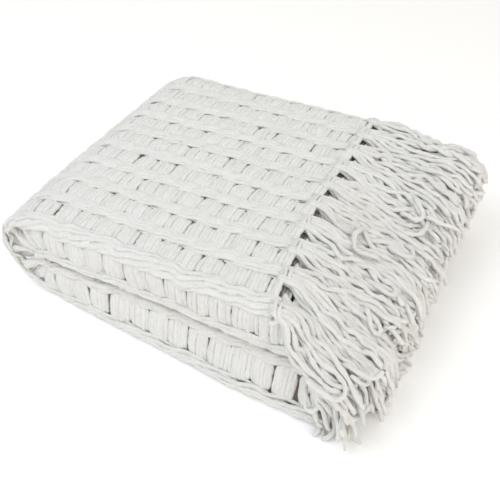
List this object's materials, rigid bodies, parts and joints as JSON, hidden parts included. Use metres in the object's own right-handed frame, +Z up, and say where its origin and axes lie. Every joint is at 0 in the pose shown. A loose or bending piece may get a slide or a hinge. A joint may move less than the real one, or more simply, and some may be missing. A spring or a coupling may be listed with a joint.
{
  "type": "folded chenille throw",
  "caption": "Chunky open-weave chenille throw, folded into a thick stack, with long fringe falling over one end.",
  "frame": {"origin": "on the surface the stack rests on, under the middle of the whole throw's box", "axes": "+X along the weave's bands towards the fringe, +Y from the front fold to the back fold, +Z up"},
  "size_m": [0.5402, 0.4508, 0.1598],
  "materials": {
    "cloth": "off-white chenille, matt and soft",
    "fringe": "loose off-white chenille yarn"
  },
  "bodies": {
    "root": {"throw_cloth": "cloth", "fringe_outer_end": "fringe", "fringe_inner_end": "fringe"}
  },
  "joints": []
}
